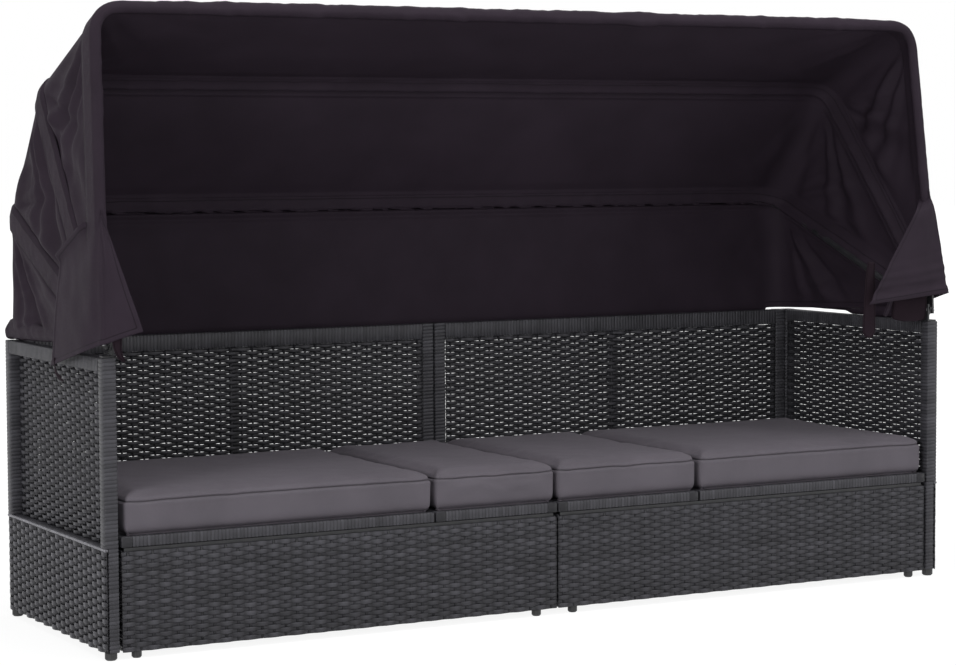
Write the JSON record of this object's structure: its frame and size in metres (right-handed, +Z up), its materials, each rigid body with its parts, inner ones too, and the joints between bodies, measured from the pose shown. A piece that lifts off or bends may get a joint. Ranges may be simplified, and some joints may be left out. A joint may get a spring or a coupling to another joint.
{
  "type": "outdoor daybed with canopy",
  "caption": "Woven outdoor daybed with pull-out bench seats, tilting seat ends, loose cushions and a fabric canopy that folds back on steel bows.",
  "frame": {"origin": "on the floor under the middle of the whole, canopy included; the two benches meet at X 0", "axes": "+X along the seat to the right-hand arm seen from the front, +Y to the back, +Z up"},
  "size_m": [2.0458, 0.6165, 1.2582],
  "materials": {
    "cane": "flat charcoal synthetic rattan, woven and wrapped, satin",
    "black_steel": "black powder coat, semi-matte",
    "zinc_steel": "zinc-plated steel",
    "glide_plastic": "black moulded plastic, matte",
    "cushion_fabric": "dark grey polyester cover with piped seams, matte",
    "canopy_fabric": "near-black polyester canopy cloth, matte"
  },
  "bodies": {
    "frames": {"arm_frame_left": "cane", "arm_upper_weave_left": "cane", "arm_lower_weave_left": "cane", "back_frame_left": "cane", "back_weave_left": "cane", "glide_front_post_left": "glide_plastic", "glide_rear_post_left": "glide_plastic", "glide_back_middle_left": "glide_plastic", "bow_bracket_left": "black_steel", "pivot_bolt_left": "zinc_steel", "arm_frame_right": "cane", "arm_upper_weave_right": "cane", "arm_lower_weave_right": "cane", "back_frame_right": "cane", "back_weave_right": "cane", "glide_front_post_right": "glide_plastic", "glide_rear_post_right": "glide_plastic", "glide_back_middle_right": "glide_plastic", "bow_bracket_right": "black_steel", "pivot_bolt_right": "zinc_steel"},
    "bench_left": {"bench_frame_left": "black_steel", "bench_front_weave_left": "cane", "bench_outer_weave_left": "cane", "bench_inner_weave_left": "cane", "bench_glide_front_outer_left": "glide_plastic", "bench_glide_front_inner_left": "glide_plastic", "bench_glide_rear_outer_left": "glide_plastic", "bench_glide_rear_inner_left": "glide_plastic", "hinge_rod_left": "zinc_steel", "fixed_slab_frame_left": "cane", "fixed_slab_weave_left": "cane", "fixed_cushion_left": "cushion_fabric"},
    "tilt_slab_left": {"tilt_slab_frame_left": "cane", "tilt_slab_weave_left": "cane"},
    "stay_left": {"stay_left": "black_steel"},
    "tilt_cushion_left": {"tilt_cushion_left": "cushion_fabric"},
    "bench_right": {"bench_frame_right": "black_steel", "bench_front_weave_right": "cane", "bench_outer_weave_right": "cane", "bench_inner_weave_right": "cane", "bench_glide_front_outer_right": "glide_plastic", "bench_glide_front_inner_right": "glide_plastic", "bench_glide_rear_outer_right": "glide_plastic", "bench_glide_rear_inner_right": "glide_plastic", "hinge_rod_right": "zinc_steel", "fixed_slab_frame_right": "cane", "fixed_slab_weave_right": "cane", "fixed_cushion_right": "cushion_fabric"},
    "tilt_slab_right": {"tilt_slab_frame_right": "cane", "tilt_slab_weave_right": "cane"},
    "stay_right": {"stay_right": "black_steel"},
    "tilt_cushion_right": {"tilt_cushion_right": "cushion_fabric"},
    "rear_bow": {"bow_rear": "black_steel", "canopy_back_panel": "canopy_fabric"},
    "middle_bow": {"bow_middle": "black_steel", "canopy_roof_panel": "canopy_fabric"},
    "front_bow": {"bow_front": "black_steel", "canopy_front_panel": "canopy_fabric", "canopy_flap_left": "canopy_fabric", "canopy_flap_right": "canopy_fabric"}
  },
  "joints": [
    {"name": "bench_slide_left", "type": "slide", "parent": "frames", "child": "bench_left", "axis": [0, -1, 0], "range_m": [0, 0.56]},
    {"name": "slab_tilt_left", "type": "hinge", "parent": "bench_left", "child": "tilt_slab_left", "pos_m": [-0.302, 0, 0.226], "axis": [0, 1, 0], "range_deg": [0, 45]},
    {"name": "stay_fold_left", "type": "hinge", "parent": "tilt_slab_left", "child": "stay_left", "pos_m": [-0.59416, 0, 0.209], "axis": [0, 1, 0], "range_deg": [-90, 0]},
    {"name": "cushion_slide_left", "type": "slide", "parent": "tilt_slab_left", "child": "tilt_cushion_left", "axis": [-1, 0, 0], "range_m": [0, 0.072]},
    {"name": "bench_slide_right", "type": "slide", "parent": "frames", "child": "bench_right", "axis": [0, -1, 0], "range_m": [0, 0.56]},
    {"name": "slab_tilt_right", "type": "hinge", "parent": "bench_right", "child": "tilt_slab_right", "pos_m": [0.366, 0, 0.226], "axis": [0, -1, 0], "range_deg": [0, 45]},
    {"name": "stay_fold_right", "type": "hinge", "parent": "tilt_slab_right", "child": "stay_right", "pos_m": [0.63, 0, 0.209], "axis": [0, -1, 0], "range_deg": [-90, 0]},
    {"name": "cushion_slide_right", "type": "slide", "parent": "tilt_slab_right", "child": "tilt_cushion_right", "axis": [1, 0, 0], "range_m": [0, 0.072]},
    {"name": "rear_bow_fold", "type": "hinge", "parent": "frames", "child": "rear_bow", "pos_m": [0, -0.254, 0.608], "axis": [-1, 0, 0], "range_deg": [0, 22.5], "deforming": ["canopy_back_panel"]},
    {"name": "middle_bow_fold", "type": "hinge", "parent": "rear_bow", "child": "middle_bow", "pos_m": [0, -0.254, 0.608], "axis": [-1, 0, 0], "range_deg": [0, 30], "deforming": ["canopy_roof_panel"]},
    {"name": "front_bow_fold", "type": "hinge", "parent": "middle_bow", "child": "front_bow", "pos_m": [0, -0.254, 0.608], "axis": [-1, 0, 0], "range_deg": [0, 26], "deforming": ["canopy_front_panel", "canopy_flap_left", "canopy_flap_right"]}
  ],
  "couplings": [
    {"joint": "stay_fold_left", "follows": "slab_tilt_left", "ratio": -2},
    {"joint": "cushion_slide_left", "follows": "slab_tilt_left", "m_per_rad": 0.0888},
    {"joint": "stay_fold_right", "follows": "slab_tilt_right", "ratio": -2},
    {"joint": "cushion_slide_right", "follows": "slab_tilt_right", "m_per_rad": 0.0888},
    {"joint": "middle_bow_fold", "follows": "rear_bow_fold", "ratio": 1.305},
    {"joint": "front_bow_fold", "follows": "rear_bow_fold", "ratio": 1.126}
  ]
}
